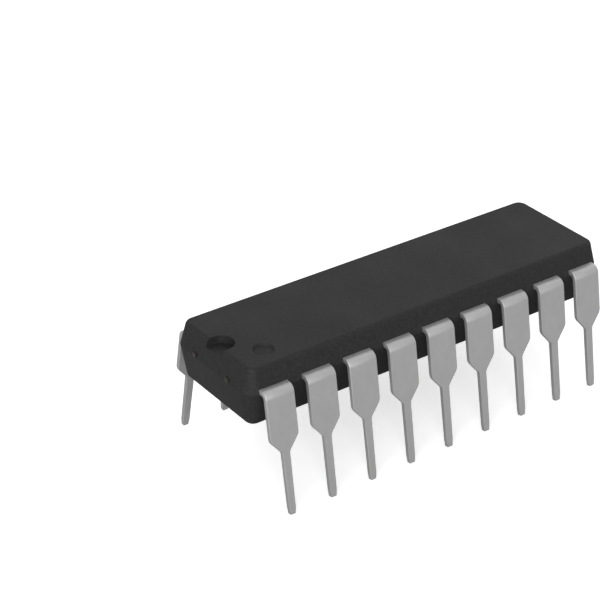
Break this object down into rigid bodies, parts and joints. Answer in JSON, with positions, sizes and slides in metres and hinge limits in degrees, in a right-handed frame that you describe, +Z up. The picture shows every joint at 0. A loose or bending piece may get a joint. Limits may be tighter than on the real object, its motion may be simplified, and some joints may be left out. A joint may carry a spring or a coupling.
{
  "type": "dual in-line integrated circuit package",
  "caption": "Black plastic dual in-line chip package with an index notch at one end and rows of flat, tinned through-hole leads that splay slightly outwards.",
  "frame": {"origin": "under the middle of the body, in the plane of the lead tips", "axes": "+X along the body away from the notched end, +Y towards the row opposite lead 1, +Z up"},
  "size_m": [0.0234, 0.01, 0.0078],
  "materials": {
    "moulding": "fine matte moulded epoxy",
    "plated_lead": "matte tin plating over stamped copper alloy",
    "bare_lead_frame": "bare rolled copper alloy",
    "silver_cement": "silver-filled epoxy, matte",
    "silicon": "polished silicon, opaque",
    "gold_wire": "drawn gold wire"
  },
  "bodies": {
    "root": {"moulded_body": "moulding", "die_pad": "bare_lead_frame", "die_cement": "silver_cement", "silicon_die": "silicon", "lead_01": "plated_lead", "lead_02": "plated_lead", "lead_03": "plated_lead", "lead_04": "plated_lead", "lead_05": "plated_lead", "lead_06": "plated_lead", "lead_07": "plated_lead", "lead_08": "plated_lead", "lead_09": "plated_lead", "lead_10": "plated_lead", "lead_11": "plated_lead", "lead_12": "plated_lead", "lead_13": "plated_lead", "lead_14": "plated_lead", "lead_15": "plated_lead", "lead_16": "plated_lead", "lead_17": "plated_lead", "lead_18": "plated_lead", "bond_wire_01": "gold_wire", "bond_wire_02": "gold_wire", "bond_wire_03": "gold_wire", "bond_wire_04": "gold_wire", "bond_wire_05": "gold_wire", "bond_wire_06": "gold_wire", "bond_wire_07": "gold_wire", "bond_wire_08": "gold_wire", "bond_wire_09": "gold_wire", "bond_wire_10": "gold_wire", "bond_wire_11": "gold_wire", "bond_wire_12": "gold_wire", "bond_wire_13": "gold_wire", "bond_wire_14": "gold_wire", "bond_wire_15": "gold_wire", "bond_wire_16": "gold_wire", "bond_wire_17": "gold_wire", "bond_wire_18": "gold_wire"}
  },
  "joints": []
}
